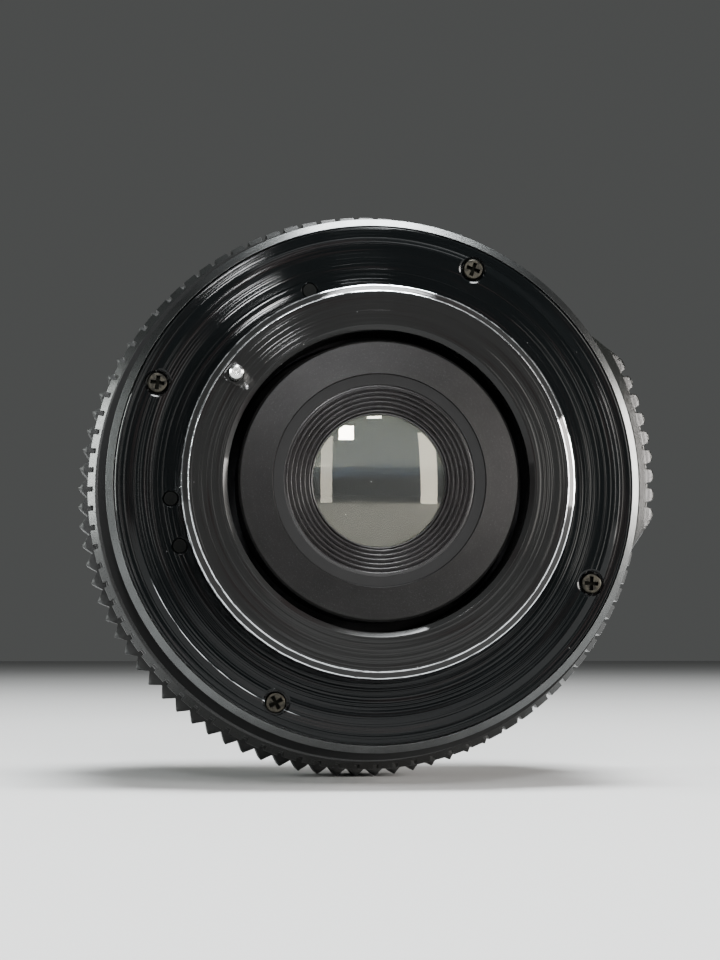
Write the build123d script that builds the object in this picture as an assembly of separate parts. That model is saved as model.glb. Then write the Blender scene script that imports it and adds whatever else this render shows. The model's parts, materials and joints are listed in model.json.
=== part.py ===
from build123d import *
import os
from math import atan2, cos, degrees, hypot, radians, sin, sqrt

# A 42 mm screw-mount wide-angle prime lens with an automatic diaphragm, in millimetres.
# The optical axis is Y: the camera is towards -Y and the subject towards +Y. +Z is up, and +X is
# to the right as the camera sees the lens. y = 0 is the flange face that seats on the camera.
# An angle about the axis is counted from +X towards +Z.

# ---- Driving dimensions ----
# Mount: M42 x 1 thread on a collar that stands out behind the flange.
THREAD_R = 21.0
THREAD_PITCH = 1.0
THREAD_DEPTH = 0.5
COLLAR_LENGTH = 4.7
COLLAR_BORE_R = 16.1
FLANGE_R = 28.0
FLANGE_THICK = 2.0
SEAT_IN_R = 21.15
SEAT_R = 26.2
SEAT_RELIEF = 0.3
RIM_DROP = 0.25
SCREW_HEAD_R = 1.15
COUNTERBORE_R = 1.4
COUNTERBORE_DEPTH = 0.78
SCREW_CIRCLE_R = 25.85
SCREW_ANGLES = (65.5, 155.5, 245.5, 335.5)
POST_CIRCLE_R = 22.1
POST_ANGLES = (108.9, 184.6, 198.0)
POST_R = 0.8

# Stop-down pin and the lever that it pushes.
PIN_R = 0.75
PIN_CIRCLE_R = 18.9
PIN_ANGLE = 143.9
PIN_STAND_OUT = 2.2
PIN_FRONT = 4.2
LEVER_ANGLE = 163.0
LEVER_Y = 4.66

# Fixed base barrel.
BOSS_IN_R = 23.2
BOSS_R = 27.0
WEB_IN_R = 16.4
WEB_BACK = 8.0
WEB_FRONT = 9.6
TUBE_IN_R = 25.6
TUBE_R = 27.2
TUBE_FRONT = 32.5

# Aperture ring, with its one raised grip, and the fixed scale ring in front of it.
RING_R = 29.0
RING_BACK = 0.35
RING_FRONT = 6.6
GRIP_R = 31.0
GRIP_FOOT_ANGLES = (-14.0, 35.0)
GRIP_TOP_ANGLES = (-7.0, 27.5)
GRIP_TEETH = 9
CLICK_ANGLE = 20.0
CLICK_STEP = 9.0
CLICKS = 6
APERTURE_TRAVEL = CLICK_STEP * (CLICKS - 1)
FINGER_REST_ANGLE = 268.0
SCALE_BACK = 6.8
SCALE_FRONT = 10.6
SCALE_R = 30.0
SCALE_SCREW_ANGLES = (30.0, 150.0, 270.0)
SCALE_SCREW_Y = 8.7
STOP_PIN_CIRCLE_R = 28.8
STOP_PIN_ANGLE = 90.0
STOP_PIN_R = 0.5

# Focus ring: a notched band, a smooth distance band and a deep V knurl.
FOCUS_BACK = 10.75
NOTCH_BAND_R = 31.27
NOTCH_BAND_FRONT = 14.0
NOTCH_DEPTH = 0.55
NOTCH_WIDTH = 0.6
DISTANCE_R = 31.0
DISTANCE_FRONT = 22.8
KNURL_BACK = 24.5
KNURL_FRONT = 32.0
KNURL_R = 32.8
KNURL_DEPTH = 1.05
TEETH = 90
LIP_R = 31.0
LIP_FRONT = 38.5
FOCUS_THROW = 175.0

# Helicoid: a brass nut that only turns, and a sleeve that only slides.
NUT_IN_R = 23.3
NUT_BACK = 13.0
NUT_FLANGE_R = 29.4
NUT_FLANGE_FRONT = 34.6
NUT_SCREW_ANGLES = (45.0, 165.0, 285.0)
NUT_SCREW_Y = 33.6
SLEEVE_IN_R = 20.6
SLEEVE_BACK = 12.0
SLEEVE_FRONT = 38.5
KEY_ANGLES = (90.0, 270.0)
KEY_WIDTH = 3.9
KEY_SCREW_CIRCLE_R = 23.7
GRUB_R = 0.8
GRUB_NECK_R = 0.6

# Optics and front barrel.
CELL_R = 15.0
CELL_SHOULDER = 5.9
CELL_FRONT = 10.9
GLASS_CLEAR_R = 7.1
BARREL_R = 17.2
BARREL_FRONT = 41.5
FRONT_R = 27.4
FRONT_BACK = 34.9
FRONT_END = 47.0
FILTER_MINOR_R = 24.1
FILTER_PITCH = 0.75
FILTER_BACK = 43.1
NAME_RING_R = 23.35
BARREL_SCREW_ANGLES = (30.0, 150.0, 270.0)
BARREL_SCREW_CIRCLE_R = 21.5

# Iris: blades on fixed pivots, driven by slots in a turning ring.
BLADES = 6
BLADE_IN_R = 6.9
BLADE_OUT_R = 12.6
BLADE_SPAN = 105.0
BLADE_THICK = 0.1
BLADE_LAYER = 0.2
BLADE_BACK = 12.15
BLADE_TURN = 24.4
PIVOT_R = 13.6
DRIVE_OFFSET_ANGLE = 12.0
BLADE_PIN_R = 0.45
IRIS_RING_R = 15.94
IRIS_RING_BACK = 11.2
IRIS_RING_FRONT = 12.0
IRIS_CHAMBER_R = 16.0

# Clearances.
RUN = 0.06
GAP = 0.02
PIN_GAP = 0.05

os.makedirs("parts", exist_ok=True)


# ---- Helpers ----
def turned(*outline):
    """A solid turned about the optical axis from its (radius, y) corners."""
    return revolve(make_face(Polyline(*outline, close=True)), axis=Axis.Y)


def tube(inner, outer, back, front):
    return turned((inner, back), (outer, back), (outer, front), (inner, front))


def rod(radius, back, front):
    return tube(0, radius, back, front)


def sector(inner, outer, back, front, start, end):
    """Part of a tube, from one angle about the axis to another."""
    corners = [(inner, back), (outer, back), (outer, front), (inner, front)]
    face = make_face(Polyline(*corners, close=True))
    return Rot(0, -end, 0) * revolve(face, axis=Axis.Y, revolution_arc=end - start)


def at(radius, angle, y=0.0):
    """A place on a circle about the axis, with its own X pointing away from the axis."""
    return Rot(0, -angle, 0) * Pos(radius, y, 0)


def facing(angle):
    """A turn that brings +X to the given angle about the axis."""
    return Rot(0, -angle, 0)


def block(x, y, z):
    """A box from three (low, high) pairs."""
    size = Box(x[1] - x[0], y[1] - y[0], z[1] - z[0], align=(Align.MIN, Align.MIN, Align.MIN))
    return Pos(x[0], y[0], z[0]) * size


def spoke(radius, inner, outer, y):
    """A round bar along +X, from one radius to another."""
    bar = Cylinder(radius, outer - inner, align=(Align.CENTER, Align.CENTER, Align.MIN))
    return Pos(inner, y, 0) * Rot(0, 90, 0) * bar


def prism(corners, back, front):
    """A straight bar along the axis, with (x, z) corners."""
    face = Plane.XZ.offset(-back) * make_face(Polyline(*corners, close=True))
    return extrude(face, amount=back - front)


def polar(radius, angle):
    return (radius * cos(radians(angle)), radius * sin(radians(angle)))


def joined(shapes):
    """One shape from pieces that touch or overlap."""
    first, *rest = shapes
    return first + rest


def group(shapes):
    """Separate solids that share one node."""
    return Compound(children=[solid for shape in shapes for solid in shape.solids()])


def coil(radius, wire, turns, length):
    """A spring of round wire along +Z, starting at z = 0."""
    path = Helix(pitch=(length - 2 * wire) / turns, height=length - 2 * wire, radius=radius)
    section = Plane(origin=path @ 0, z_dir=path % 0) * Circle(wire)
    return Pos(0, 0, wire) * sweep(section, path=path)


def cross_recess(half, width, back, depth):
    """Two crossed slots, cut from a screw's back face."""
    long = (-half, half)
    short = (-width / 2, width / 2)
    deep = (back - depth, back + depth)
    return block(long, deep, short) + block(short, deep, long)


def thread_grooves(crest_r, depth, first, last, pitch):
    """Ring grooves, one for each turn of a thread. Depth is inwards, or outwards if negative."""
    root = crest_r - depth
    rise = abs(depth) * 0.577
    mouth = crest_r + (0.1 if depth > 0 else -0.1)
    flare = 0.0577
    grooves = []
    y = first
    while y <= last:
        half_root = 0.06
        half_mouth = half_root + rise + flare
        grooves.append(turned((mouth, y - half_mouth), (root, y - half_root),
                              (root, y + half_root), (mouth, y + half_mouth)))
        y += pitch
    return grooves


def sag(curve, radius):
    """How far a spherical surface falls away at a radius. A curve of 0 is flat."""
    if curve == 0:
        return 0.0
    return (abs(curve) - sqrt(curve * curve - radius * radius)) * (1 if curve > 0 else -1)


def element(outer, back, front, back_curve, front_curve, back_clear=None, front_clear=None):
    """A glass element between its two vertices. A positive curve is convex on that side."""
    back_clear = back_clear or outer
    front_clear = front_clear or outer
    back_edge = back + sag(back_curve, back_clear)
    front_edge = front - sag(front_curve, front_clear)
    back_mid = (back_clear / 2, back + sag(back_curve, back_clear / 2))
    front_mid = (front_clear / 2, front - sag(front_curve, front_clear / 2))
    back_line = ThreePointArc((0, back), back_mid, (back_clear, back_edge))
    front_line = ThreePointArc((0, front), front_mid, (front_clear, front_edge))
    corners = [(back_clear, back_edge), (outer, back_edge), (outer, front_edge),
               (front_clear, front_edge)]
    rim = [Line(a, b) for a, b in zip(corners, corners[1:]) if a != b]
    axis_line = Line((0, front), (0, back))
    return revolve(make_face([back_line, *rim, front_line, axis_line]), axis=Axis.Y)


# ---- Mount: flange, its screws and posts ----
def mount_flange():
    end = -COLLAR_LENGTH
    root = THREAD_R - THREAD_DEPTH - 0.2
    relief = 0.9
    bore_chamfer = 0.5
    body = turned(
        (COLLAR_BORE_R, FLANGE_THICK), (COLLAR_BORE_R, end + bore_chamfer),
        (COLLAR_BORE_R + bore_chamfer, end), (root, end), (THREAD_R, end + THREAD_R - root),
        (THREAD_R, -relief), (root, -relief), (root, SEAT_RELIEF), (SEAT_IN_R, SEAT_RELIEF),
        (SEAT_IN_R, 0), (SEAT_R, 0),
        (SEAT_R + 0.69, RIM_DROP), (FLANGE_R - 0.12, RIM_DROP), (FLANGE_R, RIM_DROP + 0.12),
        (FLANGE_R, FLANGE_THICK))
    first_turn = end + THREAD_R - root + 0.35 + 0.3
    body = body - thread_grooves(THREAD_R, THREAD_DEPTH, first_turn, -relief - 0.3, THREAD_PITCH)
    holes = [at(PIN_CIRCLE_R, PIN_ANGLE) * rod(PIN_R + PIN_GAP, end - 1, FLANGE_THICK + 1)]
    for angle in SCREW_ANGLES:
        holes.append(at(SCREW_CIRCLE_R, angle) * rod(COUNTERBORE_R, -1, COUNTERBORE_DEPTH))
        holes.append(at(SCREW_CIRCLE_R, angle) * rod(0.78, 0, FLANGE_THICK + 1))
    for angle in POST_ANGLES:
        holes.append(at(POST_CIRCLE_R, angle) * rod(POST_R + GAP, -1, FLANGE_THICK + 1))
    return body - holes


def flange_screw():
    """A cross-head machine screw, with its head in the flange's counterbore."""
    seat = COUNTERBORE_DEPTH - GAP
    head = turned((0, 0.12), (SCREW_HEAD_R - 0.2, 0.14), (SCREW_HEAD_R, 0.3), (SCREW_HEAD_R, seat),
                  (0, seat))
    return head + rod(0.7, 0.7, 6.2) - cross_recess(0.72, 0.3, 0.12, 0.36)


def lever_post():
    """A post riveted through the flange. Its end shows as a small flush disc."""
    return turned((0, 0.06), (0.62, 0.12), (POST_R, 0.22), (POST_R, 3.4), (0, 3.4))


# ---- Fixed base barrel and what is fastened to it ----
def base_barrel():
    body = turned(
        (BOSS_IN_R, FLANGE_THICK + GAP), (BOSS_R, FLANGE_THICK + GAP), (BOSS_R, SCALE_FRONT),
        (TUBE_R, SCALE_FRONT), (TUBE_R, TUBE_FRONT), (TUBE_IN_R, TUBE_FRONT),
        (TUBE_IN_R, WEB_FRONT), (WEB_IN_R, WEB_FRONT), (WEB_IN_R, WEB_BACK),
        (BOSS_IN_R, WEB_BACK))
    stop_angle = FINGER_REST_ANGLE + APERTURE_TRAVEL
    cuts = [sector(BOSS_IN_R - 1, BOSS_R + 1, FLANGE_THICK - 1, 5.2, FINGER_REST_ANGLE - 5,
                   stop_angle + 5)]
    cuts.append(sector(17.6, 19.4, WEB_BACK - 1, WEB_FRONT + 1, FINGER_REST_ANGLE - 6,
                       stop_angle + 6))
    cuts.append(at(PIN_CIRCLE_R, PIN_ANGLE) * rod(1.6, WEB_BACK - 1, WEB_FRONT - 0.4))
    cuts.append(facing(CLICK_ANGLE) * spoke(0.84, BOSS_IN_R + 0.4, BOSS_R + 1, 4.3))
    for angle in SCREW_ANGLES:
        cuts.append(at(SCREW_CIRCLE_R, angle) * rod(0.72, FLANGE_THICK - 1, 6.3))
    for angle in KEY_ANGLES:
        cuts.append(at(KEY_SCREW_CIRCLE_R, angle) * rod(0.62, WEB_BACK - 1, WEB_FRONT + 1))
    for angle in SCALE_SCREW_ANGLES:
        cuts.append(facing(angle) * spoke(GRUB_NECK_R + GAP, 26.2, BOSS_R + 1, SCALE_SCREW_Y))
    return body - cuts


def scale_ring():
    edge = 0.25
    inner = BOSS_R + GAP
    body = turned(
        (inner, SCALE_BACK), (SCALE_R - edge, SCALE_BACK), (SCALE_R, SCALE_BACK + edge),
        (SCALE_R, SCALE_FRONT - edge), (SCALE_R - edge, SCALE_FRONT - 0.02),
        (inner, SCALE_FRONT - 0.02))
    holes = [facing(angle) * spoke(GRUB_R + GAP, BOSS_R - 1, SCALE_R + 1, SCALE_SCREW_Y)
             for angle in SCALE_SCREW_ANGLES]
    holes.append(at(STOP_PIN_CIRCLE_R, STOP_PIN_ANGLE) * rod(STOP_PIN_R + GAP, 8.8, SCALE_FRONT + 1))
    return body - holes


def grub_screw(inner, neck, outer, y):
    """A headless radial screw with a slot across its outer end and a thinner inner end."""
    body = spoke(GRUB_R, neck, outer, y) + spoke(GRUB_NECK_R, inner, neck, y)
    return body - block((outer - 0.5, outer + 1), (y - 0.13, y + 0.13), (-GRUB_R * 2, GRUB_R * 2))


def scale_ring_screws():
    screw = grub_screw(26.3, BOSS_R + 0.1, SCALE_R - 0.1, SCALE_SCREW_Y)
    return group(facing(angle) * screw for angle in SCALE_SCREW_ANGLES)


def focus_stop_pin():
    return at(STOP_PIN_CIRCLE_R, STOP_PIN_ANGLE) * rod(STOP_PIN_R, 8.82, 12.0)


def guide_key():
    """A foot on the web and a finger that stops the sliding sleeve from turning."""
    half = KEY_WIDTH / 2
    foot = block((20.7, 25.2), (WEB_FRONT + GAP, 10.8), (-3.0, 3.0))
    finger = block((20.7, 22.3), (WEB_FRONT + GAP, 18.5), (-half, half))
    return foot + finger - Pos(KEY_SCREW_CIRCLE_R, 0, 0) * rod(0.62, WEB_FRONT - 1, 12)


def key_screw():
    screw = rod(1.1, 10.82, 11.6) + rod(0.6, WEB_BACK + 0.2, 10.9)
    return Pos(KEY_SCREW_CIRCLE_R, 0, 0) * (screw - block((-2, 2), (11.3, 12.0), (-0.15, 0.15)))


def click_spring():
    inner = BOSS_IN_R + 0.45
    length = 1.7
    return facing(CLICK_ANGLE) * Pos(inner, 4.3, 0) * Rot(0, 90, 0) * coil(0.5, 0.11, 4, length)


# ---- Stop-down pin, lever and spring ----
def aperture_pin():
    """A steel pin with a dimpled tip behind and a rounded nose that bears on the lever."""
    tip = -COLLAR_LENGTH - PIN_STAND_OUT
    stop = FLANGE_THICK + 0.05
    return turned(
        (0, tip + 0.22), (0.28, tip), (0.5, tip), (PIN_R, tip + 0.25), (PIN_R, stop), (1.2, stop),
        (1.2, stop + 0.6), (PIN_R, stop + 0.6), (PIN_R, PIN_FRONT - 0.55), (0.2, PIN_FRONT),
        (0, PIN_FRONT))


def stop_down_lever():
    """A plate on a cross axle: the pin pushes its far end towards the front."""
    hub = spoke(0.9, 16.95, 19.35, LEVER_Y)
    plate = block((16.95, 19.35), (LEVER_Y - 0.4, LEVER_Y + 0.4), (-7.3, 0.6))
    return hub + plate - spoke(0.5 + PIN_GAP, 16, 20, LEVER_Y)


def lever_bracket():
    """A U-shaped bracket under the web, with an ear at each end of the axle."""
    foot = block((16.5, 19.9), (7.2, WEB_BACK - GAP), (-1.2, 1.2))
    ears = [block(x, (LEVER_Y - 0.9, 7.4), (-1.0, 1.0)) for x in ((16.5, 16.88), (19.42, 19.9))]
    return foot + ears - spoke(0.5 + GAP, 16, 20.5, LEVER_Y)


# ---- Aperture ring and its finger ----
def grip_outline():
    """The raised grip's (x, z) corners: two slopes and blocky teeth between them."""
    foot_low, foot_high = GRIP_FOOT_ANGLES
    top_low, top_high = GRIP_TOP_ANGLES
    valley_r = GRIP_R - 0.8
    pitch = (top_high - top_low) / (GRIP_TEETH - 0.4)
    under = RING_R - 0.6
    corners = [polar(under, foot_low), polar(RING_R - 0.02, foot_low)]
    for tooth in range(GRIP_TEETH):
        start = top_low + tooth * pitch
        land = pitch * 0.6
        if tooth:
            corners.append(polar(valley_r, start - 0.25))
        corners.append(polar(GRIP_R - 0.22, start))
        corners.append(polar(GRIP_R, start + 0.4))
        corners.append(polar(GRIP_R, start + land - 0.4))
        corners.append(polar(GRIP_R - 0.22, start + land))
        if tooth < GRIP_TEETH - 1:
            corners.append(polar(valley_r, start + land + 0.25))
    corners.append(polar(RING_R - 0.02, foot_high))
    corners.append(polar(under, foot_high))
    steps = 8
    for step in range(1, steps):
        corners.append(polar(under, foot_high + (foot_low - foot_high) * step / steps))
    return corners


def aperture_ring():
    rim = FLANGE_R + 0.12
    lip = FLANGE_THICK + 0.1
    bore = BOSS_R + RUN
    body = turned(
        (rim, RING_BACK + 0.08), (rim + 0.08, RING_BACK), (RING_R, RING_BACK + 0.6),
        (RING_R, RING_FRONT - 0.25), (RING_R - 0.25, RING_FRONT), (bore, RING_FRONT),
        (bore, lip), (rim, lip))
    grip = prism(grip_outline(), 0.5, 6.2)
    envelope = turned(
        (28.2, 0.95), (RING_R + 0.06, 1.0), (RING_R + 1.15, 2.05), (GRIP_R - 0.2, 2.05),
        (GRIP_R + 0.1, 2.35), (GRIP_R + 0.1, 5.7), (GRIP_R - 0.4, 6.2), (28.2, 6.2))
    body = body + (grip & envelope)
    pocket = block((26.5, 28.22), (3.58, 4.82), (-1.51, 1.51))
    cuts = [facing(FINGER_REST_ANGLE) * pocket]
    for click in range(CLICKS):
        angle = CLICK_ANGLE - click * CLICK_STEP
        cuts.append(at(26.95, angle) * rod(0.42, 3.3, 5.3))
    return body - cuts


def aperture_finger():
    """An arm through the boss and a finger forward, along which the iris ring's fork slides."""
    arm = block((17.8, 28.2), (3.6, 4.8), (-1.5, 1.5))
    finger = block((17.8, 19.2), (3.6, 18.4), (-1.5, 1.5))
    return facing(FINGER_REST_ANGLE) * (arm + finger)


# ---- Focus ring and brass nut ----
def focus_ring():
    bore = TUBE_R + RUN
    nut_bore = NUT_FLANGE_R + GAP
    chamfer = 0.92
    blank = turned(
        (bore, FOCUS_BACK), (NOTCH_BAND_R - chamfer, FOCUS_BACK),
        (NOTCH_BAND_R, FOCUS_BACK + chamfer), (NOTCH_BAND_R, NOTCH_BAND_FRONT - 0.2),
        (NOTCH_BAND_R - 0.2, NOTCH_BAND_FRONT), (30.7, NOTCH_BAND_FRONT), (30.7, 14.5),
        (DISTANCE_R, 14.6), (DISTANCE_R, DISTANCE_FRONT), (30.5, DISTANCE_FRONT + 0.3),
        (30.5, KNURL_BACK - 0.1), (31.6, KNURL_BACK), (KNURL_R - 0.5, KNURL_BACK),
        (KNURL_R, KNURL_BACK + 0.5), (KNURL_R, KNURL_FRONT - 0.5),
        (KNURL_R - 0.5, KNURL_FRONT), (LIP_R, KNURL_FRONT), (LIP_R, LIP_FRONT - 0.7),
        (LIP_R - 0.7, LIP_FRONT), (nut_bore, LIP_FRONT), (nut_bore, TUBE_FRONT + 0.04),
        (bore, TUBE_FRONT + 0.04))
    pitch = 360 / TEETH
    half_notch = NOTCH_WIDTH / 2
    floor = NOTCH_BAND_R - NOTCH_DEPTH
    notch = block((floor, NOTCH_BAND_R + 1), (FOCUS_BACK - 1, NOTCH_BAND_FRONT + 0.25),
                  (-half_notch, half_notch))
    valley_r = KNURL_R - KNURL_DEPTH
    mouth_r = KNURL_R + 0.2
    half_mouth = radians(pitch / 2) * KNURL_R * (mouth_r - valley_r) / KNURL_DEPTH
    vee = prism([(valley_r, 0), (mouth_r, -half_mouth), (mouth_r, half_mouth)],
                KNURL_BACK - 0.06, KNURL_FRONT + 1)
    cutters = [facing(tooth * pitch) * notch for tooth in range(TEETH)]
    cutters += [facing(tooth * pitch) * vee for tooth in range(TEETH)]
    ring = blank - cutters
    screws = [facing(angle) * spoke(GRUB_R + GAP, 28, 33, NUT_SCREW_Y) for angle in NUT_SCREW_ANGLES]
    stop_groove = sector(28.2, 29.4, FOCUS_BACK - 1, 12.3, 88.4, 91.6 + FOCUS_THROW)
    return ring - screws - stop_groove


def helicoid_nut():
    outer = TUBE_IN_R - RUN
    back_of_flange = TUBE_FRONT + RUN
    body = turned(
        (NUT_IN_R, NUT_BACK), (outer, NUT_BACK), (outer, back_of_flange),
        (NUT_FLANGE_R, back_of_flange), (NUT_FLANGE_R, NUT_FLANGE_FRONT),
        (NUT_IN_R, NUT_FLANGE_FRONT))
    return body - [facing(angle) * spoke(GRUB_NECK_R + GAP, 27, 30, NUT_SCREW_Y)
                   for angle in NUT_SCREW_ANGLES]


def focus_ring_screws():
    screw = grub_screw(27.1, NUT_FLANGE_R + 0.05, LIP_R - 0.15, NUT_SCREW_Y)
    return group(facing(angle) * screw for angle in NUT_SCREW_ANGLES)


# ---- Sliding sleeve, optics barrel and front barrel ----
def inner_helicoid():
    outer = NUT_IN_R - RUN
    body = turned(
        (SLEEVE_IN_R, SLEEVE_BACK), (outer, SLEEVE_BACK), (outer, SLEEVE_FRONT),
        (SLEEVE_IN_R, SLEEVE_FRONT), (SLEEVE_IN_R, 26.95), (18.6, 26.95), (18.6, 25.0),
        (SLEEVE_IN_R, 25.0))
    half_slot = KEY_WIDTH / 2 + PIN_GAP
    slot = block((20.0, 25.0), (SLEEVE_BACK - 1, 20.6), (-half_slot, half_slot))
    cuts = [facing(angle) * slot for angle in KEY_ANGLES]
    cuts += [at(BARREL_SCREW_CIRCLE_R, angle) * rod(0.62, 34.5, SLEEVE_FRONT + 1)
             for angle in BARREL_SCREW_ANGLES]
    return body - cuts


def optics_barrel():
    """The tube that holds the iris and every group. Its flange rests on the sleeve's ledge."""
    body = turned(
        (14.45, 6.0), (16.0, 6.0), (16.0, 10.2), (BARREL_R, 10.2), (BARREL_R, 16.0), (12.4, 16.0),
        (12.4, 24.5), (BARREL_R, 25.5), (BARREL_R, 27.0), (20.5, 27.0),
        (20.5, 29.5), (BARREL_R, 29.5), (BARREL_R, BARREL_FRONT), (15.62, BARREL_FRONT),
        (15.62, 34.2), (12.0, 34.2), (12.0, 27.9), (10.8, 27.9), (10.8, 24.5), (9.0, 24.5),
        (9.0, 18.75), (8.0, 18.75), (8.0, 14.6), (IRIS_CHAMBER_R, 14.6), (IRIS_CHAMBER_R, 11.0),
        (14.45, 11.0))
    window = sector(14.0, BARREL_R + 1, IRIS_RING_BACK - 0.1, IRIS_RING_FRONT + 0.1,
                    FINGER_REST_ANGLE - 12, FINGER_REST_ANGLE + APERTURE_TRAVEL + 12)
    return body - window


def front_barrel():
    shelf = 40.3
    recess_r = NAME_RING_R + 0.05
    thread_front = FRONT_END - 0.5
    body = turned(
        (BARREL_R + 0.2, SLEEVE_FRONT + GAP), (25.6, SLEEVE_FRONT + GAP), (25.6, FRONT_BACK),
        (29.1, FRONT_BACK), (29.1, 40.6), (28.8, 41.0), (FRONT_R, 42.2),
        (FRONT_R, FRONT_END - 0.3), (FRONT_R - 0.3, FRONT_END), (FILTER_MINOR_R + 0.5, FRONT_END),
        (FILTER_MINOR_R, thread_front), (FILTER_MINOR_R, FILTER_BACK), (recess_r, FILTER_BACK),
        (recess_r, shelf), (BARREL_R + 0.2, shelf))
    grooves = thread_grooves(FILTER_MINOR_R, -0.38, FILTER_BACK + 0.45, thread_front - 0.3,
                             FILTER_PITCH)
    holes = [at(BARREL_SCREW_CIRCLE_R, angle) * rod(0.72, SLEEVE_FRONT - 1, shelf + 1)
             for angle in BARREL_SCREW_ANGLES]
    return body - grooves - holes


def front_barrel_screw():
    screw = rod(1.15, 40.32, 41.1) + rod(0.6, 35.0, 40.4)
    screw = screw - block((-2, 2), (40.8, 42), (-0.15, 0.15))
    return Pos(BARREL_SCREW_CIRCLE_R, 0, 0) * screw


def name_ring():
    """The plain ring around the front glass. It covers the barrel's end and its screws."""
    return turned(
        (NAME_RING_R, 40.32), (NAME_RING_R, 42.9), (NAME_RING_R - 0.6, 42.9), (15.9, 42.05),
        (15.9, 41.6), (NAME_RING_R - 0.65, 41.6), (NAME_RING_R - 0.65, 40.32))


# ---- Rear cell ----
def rear_cell():
    """The rear group's mount, seen inside the collar: a satin disc, a plain ring, then ridges."""
    rim_y = -COLLAR_LENGTH
    outline = [(7.8, -3.5), (GLASS_CLEAR_R, -3.5), (GLASS_CLEAR_R, -3.86)]
    ridge_in_r = 7.7
    ridge_out_r = 10.0
    ridges = 5
    pitch = (ridge_out_r - ridge_in_r) / ridges
    inner_y = -3.98
    outer_y = -4.45
    rise = (outer_y - inner_y) / ridges
    outline.append((ridge_in_r - 0.18, inner_y))
    for ridge in range(ridges):
        radius = ridge_in_r + ridge * pitch
        y = inner_y + ridge * rise
        outline.append((radius, y - 0.02))
        outline.append((radius + pitch * 0.55, y + rise * 0.4 + 0.16))
        outline.append((radius + pitch * 0.62, y + rise * 0.5 + 0.16))
    outline.append((ridge_out_r, outer_y - 0.04))
    outline += [(11.2, outer_y - 0.06), (11.32, rim_y + 0.06), (14.3, rim_y), (CELL_R, rim_y + 0.35),
                (CELL_R, CELL_SHOULDER), (14.4, CELL_SHOULDER), (14.4, CELL_FRONT),
                (13.4, CELL_FRONT), (13.4, -2.4), (9.4, -2.4), (9.4, 9.0), (7.8, 9.0)]
    return turned(*outline)


# ---- Iris ----
def blade_angle(blade):
    """The angle of a blade's pivot about the axis."""
    return 30.0 + blade * 360 / BLADES


def iris_ring():
    """The turning ring: a slot for each blade's drive pin, and a forked arm."""
    body = tube(7.6, IRIS_RING_R, IRIS_RING_BACK, IRIS_RING_FRONT)
    arm = block((15.0, 20.2), (IRIS_RING_BACK, IRIS_RING_FRONT), (-3.0, 3.0))
    half_notch = 1.5 + PIN_GAP
    notch = block((17.6, 21.0), (IRIS_RING_BACK - 1, IRIS_RING_FRONT + 1), (-half_notch, half_notch))
    body = body + facing(FINGER_REST_ANGLE) * (arm - notch)
    slots = [facing(blade_angle(blade)) * cam_slot() for blade in range(BLADES)]
    return body - slots


def cam_slot():
    """The path of a drive pin in the turning ring, for a blade whose pivot is at angle 0."""
    half_width = BLADE_PIN_R + 0.08
    steps = 8
    arm = 2 * PIVOT_R * sin(radians(DRIVE_OFFSET_ANGLE / 2))
    inner_side = []
    outer_side = []
    for step in range(-1, steps + 2):
        share = step / steps
        turn = radians(90 + DRIVE_OFFSET_ANGLE / 2 - BLADE_TURN * share)
        x = PIVOT_R + arm * cos(turn)
        z = arm * sin(turn)
        angle = degrees(atan2(z, x)) - APERTURE_TRAVEL * share
        radius = hypot(x, z)
        inner_side.append(polar(radius - half_width, angle))
        outer_side.append(polar(radius + half_width, angle))
    low_end = Line(inner_side[0], outer_side[0])
    high_end = Line(inner_side[-1], outer_side[-1])
    face = make_face([Spline(*inner_side), low_end, Spline(*outer_side), high_end])
    return extrude(Plane.XZ.offset(-IRIS_RING_BACK + 1) * face, amount=-3)


def iris_blade(blade):
    """A thin arc blade with its pivot pin in front and its drive pin behind."""
    back = BLADE_BACK + blade * BLADE_LAYER
    front = back + BLADE_THICK
    body = joined([
        sector(BLADE_IN_R, BLADE_OUT_R, back, front, -BLADE_SPAN, 4.0),
        sector(BLADE_OUT_R - 0.4, PIVOT_R + 0.6, back, front, -2.0, DRIVE_OFFSET_ANGLE + 1.5),
        at(PIVOT_R, 0) * rod(0.75, back, front),
        at(PIVOT_R, DRIVE_OFFSET_ANGLE) * rod(0.7, back, front),
        at(PIVOT_R, 0) * rod(BLADE_PIN_R, back, 14.3),
        at(PIVOT_R, DRIVE_OFFSET_ANGLE) * rod(BLADE_PIN_R, IRIS_RING_BACK + 0.1, front)])
    return facing(blade_angle(blade)) * body


def iris_plate():
    holes = [at(PIVOT_R, blade_angle(blade)) * rod(BLADE_PIN_R + PIN_GAP, 13, 15)
             for blade in range(BLADES)]
    return tube(7.4, IRIS_CHAMBER_R - GAP, 13.5, 14.58) - holes


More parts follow.
